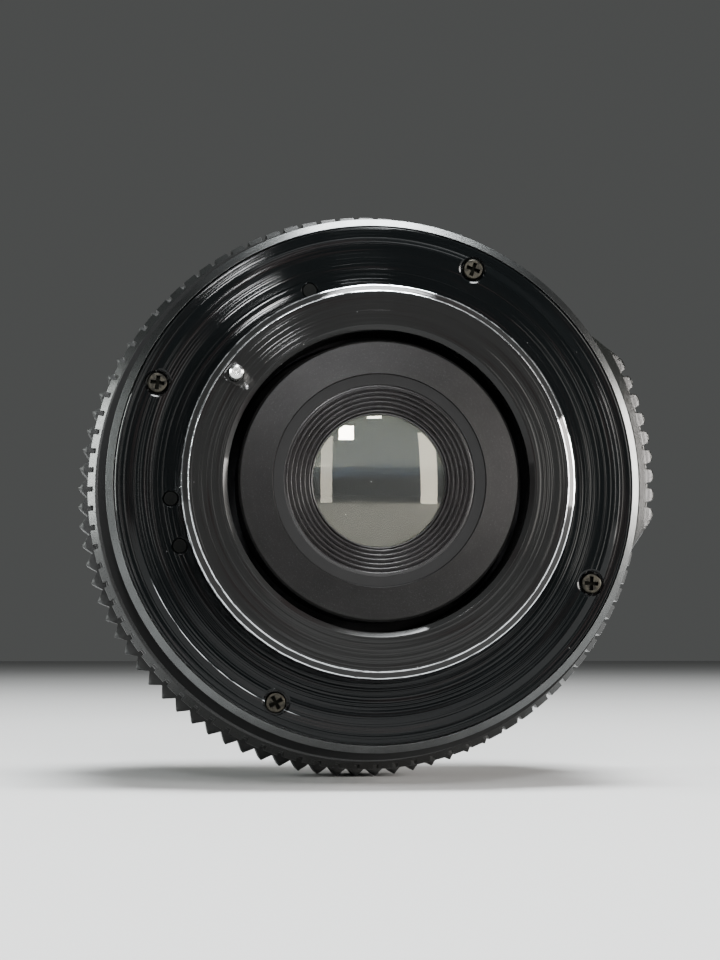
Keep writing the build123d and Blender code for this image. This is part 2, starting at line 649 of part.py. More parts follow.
# ---- Every node ----
nodes = {
    "mount_flange": mount_flange(),
    "flange_screws": group(at(SCREW_CIRCLE_R, angle) * flange_screw() for angle in SCREW_ANGLES),
    "lever_posts": group(at(POST_CIRCLE_R, angle) * lever_post() for angle in POST_ANGLES),
    "base_barrel": base_barrel(),
    "scale_ring": scale_ring(),
    "scale_ring_screws": scale_ring_screws(),
    "focus_stop_pin": focus_stop_pin(),
    "guide_keys": group(facing(angle) * guide_key() for angle in KEY_ANGLES),
    "key_screws": group(facing(angle) * key_screw() for angle in KEY_ANGLES),
    "click_ball": facing(CLICK_ANGLE) * Pos(26.2, 4.3, 0) * Sphere(0.8),
    "click_spring": click_spring(),
    "aperture_pin": at(PIN_CIRCLE_R, PIN_ANGLE) * aperture_pin(),
    "stop_down_lever": facing(LEVER_ANGLE) * stop_down_lever(),
    "lever_axle": facing(LEVER_ANGLE) * spoke(0.5, 16.45, 20.1, LEVER_Y),
    "lever_bracket": facing(LEVER_ANGLE) * lever_bracket(),
    "lever_spring": at(PIN_CIRCLE_R, PIN_ANGLE, LEVER_Y + 0.45) * Rot(-90, 0, 0) * coil(
        1.1, 0.14, 4.5, 4.05),
    "aperture_ring": aperture_ring(),
    "aperture_finger": aperture_finger(),
    "focus_ring": focus_ring(),
    "helicoid_nut": helicoid_nut(),
    "focus_ring_screws": focus_ring_screws(),
    "inner_helicoid": inner_helicoid(),
    "optics_barrel": optics_barrel(),
    "barrel_retainer": tube(18.0, SLEEVE_IN_R - 0.05, 29.55, 31.5),
    "front_barrel": front_barrel(),
    "front_barrel_screws": group(facing(angle) * front_barrel_screw()
                                 for angle in BARREL_SCREW_ANGLES),
    "name_ring": name_ring(),
    "front_element_retainer": tube(14.2, 15.58, 38.75, 40.6),
    "second_element_retainer": tube(10.7, 11.96, 29.8, 31.2),
    "third_element_retainer": tube(8.05, 8.96, 21.9, 23.3),
    "rear_cell": rear_cell(),
    "rear_spacer_1": tube(7.0, 7.76, -1.55, 0.45),
    "rear_spacer_2": tube(6.9, 7.76, 2.45, 3.68),
    "rear_retainer": tube(6.7, 7.76, 7.15, 8.6),
    "element_1": element(15.5, 38.2, 40.2, -22.0, 60.0, back_clear=12.5),
    "element_2": element(11.9, 27.2, 31.6, 80.0, 30.0),
    "element_3": element(8.9, 17.5, 22.5, 25.0, 40.0),
    "element_4": element(7.75, 5.0, 6.2, -18.0, -25.0, back_clear=6.6, front_clear=6.6),
    "element_5": element(7.75, -0.3, 2.9, 30.0, 45.0),
    "element_6": element(7.75, -4.1, -1.2, 40.0, 60.0),
    "iris_ring": iris_ring(),
    "iris_plate": iris_plate(),
}
for number in range(BLADES):
    nodes[f"iris_blade_{number + 1}"] = iris_blade(number)

for name, shape in nodes.items():
    export_step(shape, f"parts/{name}.step")
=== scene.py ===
import json
from math import cos, pi, radians, sin, sqrt, tan

import bmesh
import bpy
import numpy as np
from mathutils import Matrix, Vector


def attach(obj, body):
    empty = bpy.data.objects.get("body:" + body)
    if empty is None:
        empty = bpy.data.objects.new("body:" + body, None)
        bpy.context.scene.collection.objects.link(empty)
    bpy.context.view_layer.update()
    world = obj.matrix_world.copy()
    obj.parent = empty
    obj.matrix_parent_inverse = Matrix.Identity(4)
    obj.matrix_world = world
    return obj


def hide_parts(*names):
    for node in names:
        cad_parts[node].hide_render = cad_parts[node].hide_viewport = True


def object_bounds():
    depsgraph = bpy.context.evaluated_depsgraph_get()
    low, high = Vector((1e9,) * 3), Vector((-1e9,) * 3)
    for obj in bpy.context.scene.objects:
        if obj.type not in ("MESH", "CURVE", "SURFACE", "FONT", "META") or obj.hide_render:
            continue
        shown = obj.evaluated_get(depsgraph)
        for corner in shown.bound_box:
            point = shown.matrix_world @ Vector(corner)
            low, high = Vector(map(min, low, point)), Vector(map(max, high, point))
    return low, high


# A 42 mm screw-mount wide-angle lens, seen from its camera end.
# Outlines are in millimetres: radius from the optical axis, then place along it. The optical axis
# is Y, with the camera at -Y. Angles about it are in degrees, from +X towards +Z.

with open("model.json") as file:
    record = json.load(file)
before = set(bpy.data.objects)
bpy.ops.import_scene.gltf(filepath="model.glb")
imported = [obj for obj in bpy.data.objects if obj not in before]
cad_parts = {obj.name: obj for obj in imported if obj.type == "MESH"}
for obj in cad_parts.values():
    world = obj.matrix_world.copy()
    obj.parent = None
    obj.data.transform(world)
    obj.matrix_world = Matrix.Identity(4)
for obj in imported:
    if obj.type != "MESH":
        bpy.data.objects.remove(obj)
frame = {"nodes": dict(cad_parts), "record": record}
cad_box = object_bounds()
record = frame["record"]
MM = 0.001
BODY_OF = {node: body for body, members in record["behaviour"]["bodies"].items() for node in members}
SLOT_OF = {part["node"]: part["material_slot"] for part in record["subparts"]}

# ---- Driving sizes, in millimetres and degrees ----
COLLAR_BORE_R = 16.1
COLLAR_END = -4.7
THREAD_R = 21.0
THREAD_ROOT_R = 20.3
THREAD_PITCH = 1.0
SEAT_IN_R = 21.15
SEAT_R = 26.2
RIM_R = 26.89
FLANGE_R = 28.0
FLANGE_FRONT = 2.0
SCREW_CIRCLE_R = 25.85
SCREW_ANGLES = (65.5, 155.5, 245.5, 335.5)
SCREW_TURNS = (20, 8, 62, 3)
POST_CIRCLE_R = 22.1
POST_ANGLES = (108.9, 184.6, 198.0)
PIN_CIRCLE_R = 18.9
PIN_ANGLE = 143.9
INDEX_ANGLE = (PIN_ANGLE + 180) % 360
APERTURE_R = 29.0
CLICK_STEP = 9.0
GRIP_R = 31.0
GRIP_FOOT = (-14.0, 35.0)
GRIP_TOP = (-7.0, 27.5)
GRIP_TEETH = 9
CELL_R = 15.0
SCALE_R = 30.0
NOTCH_BAND_R = 31.27
DISTANCE_R = 31.0
KNURL_R = 32.8
KNURL_DEPTH = 1.05
TEETH = 90
FOCUS_SCREW_ANGLES = (45.0, 165.0, 285.0)
FRONT_R = 27.4
FILTER_R = 24.1
FILTER_PITCH = 0.75
FOCUS_THROW = 175.0
HELICOID_TRAVEL = 3.0
FOCAL_LENGTH = 28.0
FIGURE_HEIGHT = 0.02
FIGURE_ROOT = 0.1

# ---- Camera: degrees to the left of the axis and below it, then metres ----
CAMERA_LEFT = 5.6
CAMERA_BELOW = 4.4
CAMERA_DISTANCE = 0.235
FRAMING_SHIFT = 2.116 * MM


# ---- Mesh helpers ----
def finished(mesh, sharp=30):
    """Merges the points on the axis, turns every face outwards and shades the mesh smooth, apart from
    edges that turn by more than sharp degrees."""
    solid = bmesh.new()
    solid.from_mesh(mesh)
    bmesh.ops.remove_doubles(solid, verts=solid.verts, dist=1e-7)
    bmesh.ops.recalc_face_normals(solid, faces=solid.faces)
    solid.to_mesh(mesh)
    solid.free()
    mesh.shade_smooth()
    mesh.set_sharp_from_angle(angle=radians(sharp))
    return mesh


def new_object(name, mesh):
    item = bpy.data.objects.new(name, mesh)
    bpy.context.scene.collection.objects.link(item)
    return item


def rounded(*corners, steps=5):
    """The points of a closed outline. A corner with a third number is rounded to that radius, or to as
    much of it as there is room for."""
    points = []
    for index, corner in enumerate(corners):
        here = Vector(corner[:2])
        if len(corner) < 3:
            points.append(here)
            continue
        back = Vector(corners[index - 1][:2]) - here
        ahead = Vector(corners[(index + 1) % len(corners)][:2]) - here
        half = back.angle(ahead) / 2
        reach = min(corner[2] / tan(half), 0.42 * back.length, 0.42 * ahead.length)
        start, end = here + back.normalized() * reach, here + ahead.normalized() * reach
        centre = here + (back.normalized() + ahead.normalized()).normalized() * reach / cos(half)
        first = start - centre
        turn = first.angle_signed(end - centre)
        support = min(0.25 * reach, 0.04)
        points.append(start + back.normalized() * support)
        for step in range(steps + 1):
            angle = -turn * step / steps
            points.append(centre + Vector((first.x * cos(angle) - first.y * sin(angle),
                                           first.x * sin(angle) + first.y * cos(angle))))
        points.append(end + ahead.normalized() * support)
    return [(point.x, point.y) for point in points]


def run(start, end, step):
    """Evenly spaced points from one (radius, y) point to another."""
    count = max(2, round((Vector(end) - Vector(start)).length / step))
    return [tuple(Vector(start).lerp(Vector(end), i / count)) for i in range(count + 1)]


def turned(name, outline, columns, shape=None, sharp=30):
    """An object turned about the optical axis. shape(radius, y, angle) changes the radius of each point.
    An outline that starts and ends on the axis stays open there."""
    angles = np.linspace(0, 360, columns, endpoint=False) if isinstance(columns, int) else columns
    rows = np.array(outline, float)
    on_axis = rows[0, 0] == 0 and rows[-1, 0] == 0
    radius = np.repeat(rows[:, :1], len(angles), 1)
    y = np.repeat(rows[:, 1:], len(angles), 1)
    if shape:
        radius = shape(radius, y, np.asarray(angles)[None, :])
    turn = np.radians(angles)[None, :]
    points = np.stack([radius * np.cos(turn), y, radius * np.sin(turn)], -1).reshape(-1, 3) * MM
    row, column = np.meshgrid(np.arange(len(rows) - on_axis), np.arange(len(angles)), indexing="ij")
    below, beside = (row + 1) % len(rows), (column + 1) % len(angles)
    width = len(angles)
    quads = np.stack([row * width + column, row * width + beside, below * width + beside,
                      below * width + column], -1).reshape(-1, 4)
    mesh = bpy.data.meshes.new(name)
    mesh.from_pydata(points.tolist(), [], quads.tolist())
    return new_object(name, finished(mesh, sharp))


def patch(name, angles, rows, height, floor):
    """A closed raised patch on a cylinder. height(angle, y) is its top radius, and floor its inner one."""
    angle, y = np.meshgrid(angles, rows, indexing="ij")
    turn = np.radians(angle)
    top = height(angle, y)
    points = []
    for radius in (top, np.full_like(top, floor)):
        points.append(np.stack([radius * np.cos(turn), y, radius * np.sin(turn)], -1).reshape(-1, 3))
    count_a, count_y = angle.shape
    layer = count_a * count_y
    faces = []
    for a in range(count_a - 1):
        for b in range(count_y - 1):
            one = a * count_y + b
            quad = (one, one + 1, one + count_y + 1, one + count_y)
            faces.append(quad)
            faces.append(tuple(layer + corner for corner in reversed(quad)))
    edge = list(range(count_y))
    edge += [a * count_y + count_y - 1 for a in range(1, count_a)]
    edge += [(count_a - 1) * count_y + b for b in range(count_y - 2, -1, -1)]
    edge += [a * count_y for a in range(count_a - 2, 0, -1)]
    for here, there in zip(edge, edge[1:] + edge[:1]):
        faces.append((here, there, layer + there, layer + here))
    mesh = bpy.data.meshes.new(name)
    mesh.from_pydata((np.concatenate(points) * MM).tolist(), [], faces)
    return new_object(name, finished(mesh))


def moved_to(item, radius, angle, turn=0.0):
    """Moves a piece made about the Y axis to a place on a circle, turned about its own axis first."""
    place = Vector((radius * cos(radians(angle)), 0, radius * sin(radians(angle)))) * MM
    item.data.transform(Matrix.Translation(place) @ Matrix.Rotation(radians(turn), 4, "Y"))
    return item


def facing_out(item, angle, y):
    """Turns a piece made about the Y axis so that its back end points away from the optical axis."""
    turn = Matrix.Rotation(-radians(angle), 4, "Y") @ Matrix.Rotation(pi / 2, 4, "Z")
    item.data.transform(Matrix.Translation((0, y * MM, 0)) @ turn)
    return item


def cut(item, cutters, sharp=21):
    """Takes the cutters out of a piece and removes them. Weighted normals then make flat faces look flat."""
    for cutter in cutters:
        step = item.modifiers.new("cut", "BOOLEAN")
        step.object = cutter
        step.operation = "DIFFERENCE"
        step.solver = "EXACT"
    for weighing in (True, False):
        bpy.context.view_layer.update()
        mesh = bpy.data.meshes.new_from_object(item.evaluated_get(bpy.context.evaluated_depsgraph_get()))
        item.modifiers.clear()
        item.data = mesh
        if weighing:
            mesh.shade_smooth()
            mesh.set_sharp_from_angle(angle=radians(sharp))
            flat = item.modifiers.new("flat", "WEIGHTED_NORMAL")
            flat.keep_sharp = True
            flat.weight = 100
    for cutter in cutters:
        bpy.data.objects.remove(cutter)
    return item


def prism(name, corners, back, front, taper=1.0):
    """A straight bar along Y with (x, z) corners. The front end is scaled by taper."""
    count = len(corners)
    points = [(x * MM, back * MM, z * MM) for x, z in corners]
    points += [(x * taper * MM, front * MM, z * taper * MM) for x, z in corners]
    faces = [tuple(range(count)), tuple(reversed(range(count, 2 * count)))]
    faces += [(i, (i + 1) % count, count + (i + 1) % count, count + i) for i in range(count)]
    mesh = bpy.data.meshes.new(name)
    mesh.from_pydata(points, [], faces)
    return new_object(name, finished(mesh))


def stands_for(item, node, material):
    """Paints a piece, has it ride as the CAD node does that it replaces, and hides that node."""
    item.data.materials.clear()
    item.data.materials.append(material)
    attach(item, BODY_OF[node])
    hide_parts(node)
    return item


# ---- Material helpers ----
class Finish:
    """A Principled material. Its methods add the nodes that feed it."""

    def __init__(self, name, **constants):
        self.material = bpy.data.materials.new(name)
        self.material.use_nodes = True
        self.tree = self.material.node_tree
        self.surface = self.tree.nodes["Principled BSDF"]
        for socket, value in constants.items():
            self.surface.inputs[socket.replace("_", " ")].default_value = value
        place = self.tree.nodes.new("ShaderNodeTexCoord").outputs["Object"]
        self.mm = self.vector("SCALE", place, scale=1 / MM)
        split = self.tree.nodes.new("ShaderNodeSeparateXYZ")
        self.tree.links.new(self.mm, split.inputs[0])
        self.x, self.y, self.z = split.outputs
        across = self.math("ADD", self.math("MULTIPLY", self.x, self.x),
                           self.math("MULTIPLY", self.z, self.z))
        self.radius = self.math("SQRT", across)

    def plug(self, value, socket):
        if isinstance(value, bpy.types.NodeSocket):
            self.tree.links.new(value, socket)
        else:
            socket.default_value = value

    def math(self, operation, *values, clamp=False):
        node = self.tree.nodes.new("ShaderNodeMath")
        node.operation = operation
        node.use_clamp = clamp
        for value, socket in zip(values, node.inputs):
            self.plug(value, socket)
        return node.outputs[0]

    def vector(self, operation, *values, scale=None):
        node = self.tree.nodes.new("ShaderNodeVectorMath")
        node.operation = operation
        for value, socket in zip(values, node.inputs):
            self.plug(value, socket)
        if scale is not None:
            node.inputs["Scale"].default_value = scale
        return node.outputs[0]

    def steps(self, value, low, high):
        """A smooth 0 to 1 as the value goes from low to high."""
        node = self.tree.nodes.new("ShaderNodeMapRange")
        node.interpolation_type = "SMOOTHSTEP"
        self.plug(value, node.inputs["Value"])
        node.inputs["From Min"].default_value = low
        node.inputs["From Max"].default_value = high
        return node.outputs["Result"]

    def between(self, value, low, high, blur):
        """1 while the value lies between low and high."""
        rise = self.steps(value, low - blur, low)
        fall = self.steps(value, high, high + blur)
        return self.math("SUBTRACT", rise, fall, clamp=True)

    def facing(self, angle, reach):
        """1 round an angle about the axis, fading to 0 at reach degrees from it."""
        along = self.math("ADD", self.math("MULTIPLY", self.x, cos(radians(angle))),
                          self.math("MULTIPLY", self.z, sin(radians(angle))))
        return self.steps(self.math("DIVIDE", along, self.radius), cos(radians(reach)),
                          cos(radians(reach * 0.7)))

    def scaled(self, value, low, high):
        """Stretches a 0 to 1 value over another range."""
        return self.math("ADD", self.math("MULTIPLY", value, high - low), low)

    def noise(self, per_mm, detail, place=None, rough=0.5):
        node = self.tree.nodes.new("ShaderNodeTexNoise")
        self.plug(place or self.mm, node.inputs["Vector"])
        node.inputs["Scale"].default_value = per_mm
        node.inputs["Detail"].default_value = detail
        node.inputs["Roughness"].default_value = rough
        return node.outputs["Fac"]

    def specks(self, per_mm, size):
        """1 inside small scattered dots."""
        node = self.tree.nodes.new("ShaderNodeTexVoronoi")
        self.plug(self.mm, node.inputs["Vector"])
        node.inputs["Scale"].default_value = per_mm
        return self.math("SUBTRACT", 1.0, self.steps(node.outputs["Distance"], size * 0.5, size))

    def turning(self, per_mm, spread):
        """Places that change fast across the turning marks and slowly round them."""
        node = self.tree.nodes.new("ShaderNodeCombineXYZ")
        across = self.math("ADD", self.radius, self.y)
        self.plug(self.math("MULTIPLY", across, per_mm), node.inputs[0])
        for axis, socket in ((self.x, 1), (self.z, 2)):
            share = self.math("DIVIDE", axis, self.math("ADD", self.radius, 0.001))
            self.plug(self.math("MULTIPLY", share, spread), node.inputs[socket])
        return node.outputs[0]

    def mix(self, share, first, second):
        node = self.tree.nodes.new("ShaderNodeMix")
        node.data_type = "RGBA"
        self.plug(share, node.inputs["Factor"])
        self.plug(colour(first), node.inputs[6])
        self.plug(colour(second), node.inputs[7])
        return node.outputs[2]

    def relief(self, height, depth):
        """A normal with a bump of the given depth in millimetres."""
        node = self.tree.nodes.new("ShaderNodeBump")
        self.plug(height, node.inputs["Height"])
        node.inputs["Strength"].default_value = 1.0
        node.inputs["Distance"].default_value = depth * MM
        return node.outputs["Normal"]

    def leaning(self, share, most):
        """A normal that leans across the turning marks, as the walls of the marks do."""
        lean = self.math("DIVIDE", self.math("MULTIPLY", self.math("SUBTRACT", share, 0.5), most),
                         self.math("ADD", self.radius, 0.001))
        round_axis = self.tree.nodes.new("ShaderNodeCombineXYZ")
        self.plug(self.math("MULTIPLY", lean, self.z), round_axis.inputs[0])
        self.plug(self.math("MULTIPLY", lean, self.math("MULTIPLY", self.x, -1.0)), round_axis.inputs[2])
        turn = self.tree.nodes.new("ShaderNodeVectorTransform")
        turn.vector_type = "VECTOR"
        turn.convert_from = "OBJECT"
        turn.convert_to = "WORLD"
        self.plug(round_axis.outputs[0], turn.inputs[0])
        normal = self.tree.nodes.new("ShaderNodeNewGeometry").outputs["Normal"]
        lean_across = self.vector("CROSS_PRODUCT", turn.outputs[0], normal)
        return self.vector("NORMALIZE", self.vector("ADD", normal, lean_across))

    def brushed(self, amount):
        """Stretches highlights across turning marks, as a turned face does."""
        tangent = self.tree.nodes.new("ShaderNodeTangent")
        tangent.direction_type = "RADIAL"
        tangent.axis = "Y"
        self.surface.inputs["Anisotropic"].default_value = amount
        self.surface.inputs["Anisotropic Rotation"].default_value = 0.25
        self.plug(tangent.outputs[0], self.surface.inputs["Tangent"])

    def use(self, **sockets):
        for socket, value in sockets.items():
            self.plug(colour(value), self.surface.inputs[socket.replace("_", " ")])
        return self.material


def colour(value):
    """Lets three numbers stand for an opaque colour."""
    return (*value, 1.0) if isinstance(value, tuple) and len(value) == 3 else value


# ---- Finishes ----
def gloss_black(name, worn, wear=0.55, base=(0.0022, 0.0027, 0.0029), arc=None):
    """Black anodised, finely turned metal. worn is a list of (low, high) radii where bare metal shows.
    arc is the angle round the axis that the wear is centred on, and how wide it reaches."""
    paint = Finish(name, IOR=1.5, Specular_IOR_Level=0.16)
    fine = paint.noise(1.0, 3.0, paint.turning(7.0, 1.0), 0.62)
    grooves = paint.noise(1.0, 2.0, paint.turning(11.0, 0.6))
    broad = paint.noise(1.0, 2.0, paint.turning(1.1, 1.6))
    streaks = paint.steps(paint.math("MULTIPLY", fine, broad), 0.27, 0.42)
    tone = paint.mix(streaks, base, (0.0065, 0.0052, 0.0052))
    lint = paint.specks(0.42, 0.03)
    tone = paint.mix(paint.math("MULTIPLY", lint, 0.5), tone, (0.4, 0.4, 0.4))
    rough = paint.scaled(broad, 0.07, 0.09)
    edge_noise = paint.noise(1.0, 4.0, paint.turning(9.0, 14.0), 0.6)
    keep = paint.steps(edge_noise, wear - 0.1, wear + 0.04)
    if arc:
        keep = paint.math("MULTIPLY", keep, paint.facing(*arc))
    metal = 0.0
    for low, high in worn:
        band = paint.between(paint.radius, low, high, 0.03)
        metal = paint.math("MAXIMUM", metal, paint.math("MULTIPLY", band, keep))
    tone = paint.mix(metal, tone, (0.62, 0.64, 0.66))
    paint.brushed(0.9)
    normal = paint.leaning(grooves, 0.6)
    return paint.use(Base_Color=tone, Metallic=metal, Roughness=rough, Normal=normal)


def satin_black(name, base=(0.045, 0.046, 0.05), metallic=0.75, rough=0.42, grain=16.0, depth=0.012):
    """Bead-blasted and anodised metal: fine grain with a little sparkle."""
    paint = Finish(name, IOR=1.5, Metallic=metallic, Specular_IOR_Level=0.2)
    fine = paint.noise(grain, 2.0)
    cloud = paint.noise(0.35, 3.0)
    light = tuple(channel * 1.6 for channel in base)
    tone = paint.mix(paint.scaled(cloud, -0.2, 1.2), base, light)
    sparkle = paint.steps(paint.noise(grain * 1.3, 0.0), 0.7, 0.8)
    tone = paint.mix(paint.math("MULTIPLY", sparkle, 0.08), tone, (0.4, 0.4, 0.41))
    shine = paint.scaled(fine, rough - 0.06, rough + 0.1)
    return paint.use(Base_Color=tone, Roughness=shine, Normal=paint.relief(fine, depth))


def matt_black(name, base=(0.007, 0.007, 0.0075), rough=0.62):
    """Black paint with a faint orange-peel."""
    paint = Finish(name, IOR=1.45, Specular_IOR_Level=0.16)
    grain = paint.noise(9.0, 3.0)
    tone = paint.mix(paint.noise(0.6, 2.0), base, tuple(channel * 1.7 for channel in base))
    return paint.use(Base_Color=tone, Roughness=paint.scaled(grain, rough - 0.08, rough + 0.08),
                     Normal=paint.relief(grain, 0.006))


def ridged_black(name):
    """Half-gloss black with fine turning marks."""
    paint = Finish(name, IOR=1.6)
    marks = paint.noise(1.0, 3.0, paint.turning(8.0, 3.0))
    tone = paint.mix(marks, (0.004, 0.004, 0.0045), (0.012, 0.010, 0.010))
    paint.brushed(0.6)
    return paint.use(Base_Color=tone, Roughness=paint.scaled(marks, 0.2, 0.36),
                     Normal=paint.relief(marks, 0.004))


def bare_metal(name, base, rough=0.26, turned_marks=True):
    """Bare metal with a slight tarnish, and with turning marks or a plain grain."""
    paint = Finish(name, Metallic=1.0)
    place = paint.turning(8.0, 2.0) if turned_marks else None
    marks = paint.noise(1.0 if turned_marks else 6.0, 3.0, place)
    tarnish = paint.noise(0.5, 3.0)
    tone = paint.mix(tarnish, base, tuple(channel * 0.7 for channel in base))
    return paint.use(Base_Color=tone, Roughness=paint.scaled(marks, rough - 0.08, rough + 0.12),
                     Normal=paint.relief(marks, 0.004))


def screw_bronze():
    """A small steel screw, blackened and rubbed to a dull bronze, with patches of dirt, and painted shade
    that darkens it from just below the top of its head, in its recess and down its sides.
    """
    paint = Finish("screw_bronze_steel", Metallic=1.0)
    dirt = paint.noise(2.2, 4.0)
    scratch = paint.noise(7.0, 2.0)
    tone = paint.mix(paint.steps(dirt, 0.4, 0.66), (0.028, 0.026, 0.021), (0.012, 0.0115, 0.01))
    # Painted shade: darker below y 0.24 mm, in the recess and down the sides of the head.
    tone = paint.mix(paint.steps(paint.y, 0.16, 0.24), tone, (0.003, 0.003, 0.0025))
    return paint.use(Base_Color=tone, Roughness=paint.scaled(scratch, 0.3, 0.5),
                     Normal=paint.relief(scratch, 0.006))


def knurl_black():
    """Satin black metal that is duller towards the front. The knurl's crests are rubbed here and there."""
    paint = Finish("focus_ring_black", IOR=1.5, Specular_IOR_Level=0.45)
    grain = paint.noise(10.0, 3.0)
    broad = paint.noise(0.4, 2.0)
    tone = paint.mix(broad, (0.003, 0.0034, 0.0033), (0.007, 0.0075, 0.0073))
    edge = paint.steps(paint.radius, KNURL_R - 0.1, KNURL_R + 0.02)
    rubbed = paint.math("MULTIPLY", edge, paint.steps(paint.noise(1.4, 4.0), 0.52, 0.62))
    tone = paint.mix(rubbed, tone, (0.05, 0.05, 0.045))
    dull = paint.math("MULTIPLY", paint.steps(paint.y, 14, 24), 0.25)
    return paint.use(Base_Color=tone, Metallic=rubbed,
                     Roughness=paint.math("ADD", paint.scaled(grain, 0.22, 0.36), dull),
                     Normal=paint.relief(grain, 0.006))


def grip_black():
    """Glossy black paint, chipped to bright metal here and there on its crests."""
    paint = Finish("aperture_grip_black", IOR=1.5, Specular_IOR_Level=0.35)
    grain = paint.noise(7.0, 3.0)
    high = paint.steps(paint.radius, GRIP_R - 0.12, GRIP_R + 0.02)
    chips = paint.math("MULTIPLY", high, paint.steps(paint.noise(1.6, 4.0), 0.56, 0.62))
    tone = paint.mix(paint.noise(0.8, 2.0), (0.003, 0.0033, 0.003), (0.006, 0.0065, 0.006))
    tone = paint.mix(chips, tone, (0.4, 0.4, 0.38))
    return paint.use(Base_Color=tone, Metallic=chips, Roughness=paint.scaled(grain, 0.1, 0.24),
                     Normal=paint.relief(grain, 0.012))


def coated_glass(name, tint, level=0.25, veil=0.0):
    """Optical glass. tint is the colour that its coating reflects, and veil the share of it that is dull."""
    paint = Finish(name, IOR=1.68, Specular_IOR_Level=level)
    paint.surface.inputs["Transmission Weight"].default_value = 1.0 - veil
    paint.surface.inputs["Specular Tint"].default_value = colour(tint)
    haze = paint.noise(0.25, 3.0)
    dust = paint.specks(0.5, 0.03)
    rough = paint.math("ADD", paint.scaled(haze, 0.0, 0.012), paint.math("MULTIPLY", dust, 0.5))
    tone = paint.mix(dust, (0.6, 0.62, 0.6), (0.95, 0.95, 0.95))
    return paint.use(Base_Color=tone, Roughness=rough)


def figure_paint(name, base):
    """Slightly worn paint on a figure or a mark."""
    paint = Finish(name, IOR=1.5)
    worn = paint.noise(5.0, 3.0)
    tone = paint.mix(worn, base, tuple(channel * 0.75 for channel in base))
    return paint.use(Base_Color=tone, Roughness=paint.scaled(worn, 0.45, 0.65),
                     Normal=paint.relief(worn, 0.004))


FLANGE_BLACK = gloss_black("flange_black", [(SEAT_R - 0.01, SEAT_R + 0.03)], 0.5, arc=(228, 26))
THREAD_CREST = (THREAD_R - 0.09, THREAD_R + 0.1)
THREAD_ROOT = (THREAD_ROOT_R - 0.1, THREAD_ROOT_R)
COLLAR_BLACK = gloss_black("collar_black", [THREAD_CREST, THREAD_ROOT], 0.47, (0.009, 0.0091, 0.009))
BAND_SATIN = satin_black("aperture_ring_satin", (0.06, 0.062, 0.062), 1.0, 0.27, 14.0, 0.006)
SCALE_BLACK = matt_black("scale_ring_black", (0.002, 0.0022, 0.0022), 0.5)
FOCUS_BLACK = knurl_black()
GRIP_BLACK = grip_black()
FRONT_EDGE = (FRONT_R - 0.26, FRONT_R - 0.06)
FRONT_BLACK = gloss_black("front_barrel_black", [FRONT_EDGE])
CELL_SATIN = satin_black("rear_cell_satin", (0.0055, 0.0053, 0.0052), 0.6, 0.34, 15.0, 0.009)
CELL_MATT = matt_black("rear_cell_matt", (0.0035, 0.0035, 0.0036), 0.55)
CELL_RIDGES = ridged_black("rear_cell_ridges")
INNER_BLACK = matt_black("inner_matt_black")
SCREW_BRONZE = screw_bronze()
POST_BRONZE = bare_metal("post_dark_steel", (0.006, 0.0063, 0.006), 0.3, False)
PIN_STEEL = bare_metal("pin_bright_steel", (0.7, 0.7, 0.69), 0.22, False)
CREAM_GLASS = coated_glass("glass_cream_coat", (1.0, 0.95, 0.78), level=0.5, veil=0.027)
BLUE_GLASS = coated_glass("glass_blue_coat", (0.38, 0.52, 1.0))
FIGURE_WHITE = figure_paint("figure_white", (0.78, 0.78, 0.75))
FIGURE_ORANGE = figure_paint("figure_orange", (0.75, 0.24, 0.04))

HIDDEN_FINISHES = {
    "gloss_black_metal": SCALE_BLACK,
    "satin_black_metal": satin_black("inner_satin_black"),
    "black_metal": matt_black("inner_black_metal", (0.02, 0.02, 0.021), 0.45),
    "matt_black_metal": INNER_BLACK,
    "bare_aluminium": bare_metal("inner_aluminium", (0.7, 0.71, 0.72)),
    "brass": bare_metal("inner_brass", (0.72, 0.5, 0.2)),
    "steel": bare_metal("inner_steel", (0.55, 0.55, 0.54), 0.26, False),
    "black_steel": bare_metal("inner_black_steel", (0.06, 0.06, 0.06), 0.36, False),
    "bronze_steel": SCREW_BRONZE,
    "blade_steel": bare_metal("iris_blade_steel", (0.05, 0.052, 0.056), 0.38, False),
    "coated_glass": BLUE_GLASS,
}
for node, item in frame["nodes"].items():
    item.data.materials.clear()
    item.data.materials.append(HIDDEN_FINISHES[SLOT_OF[node]])


# ---- Mount: flange, collar, screws, posts and pin ----
def plate_with_holes():
    outline = rounded((THREAD_ROOT_R - 0.3, 0.3), (SEAT_IN_R, 0.3), (SEAT_IN_R, 0, 0.04),
                      (SEAT_R, 0, 0.03), (RIM_R, 0.25, 0.03), (FLANGE_R - 0.05, 0.25, 0.015),
                      (FLANGE_R, 0.3, 0.015), (FLANGE_R, FLANGE_FRONT), (THREAD_ROOT_R - 0.3, FLANGE_FRONT))
    plate = turned("flange_plate", outline, 480)
    cutters = []
    for angle in SCREW_ANGLES:
        bore = rounded((0, -1), (1.6, -1), (1.6, -0.02), (1.4, 0.12, 0.03), (1.4, 0.78), (0.78, 0.78),
                       (0.78, 3), (0, 3))
        cutters.append(moved_to(turned("bore", bore, 64), SCREW_CIRCLE_R, angle))
    for angle in POST_ANGLES:
        bore = [(0, -1), (0.94, -1), (0.94, -0.02), (0.83, 0.1), (0.83, 3), (0, 3)]
        cutters.append(moved_to(turned("bore", bore, 48), POST_CIRCLE_R, angle))
    return cut(plate, cutters)


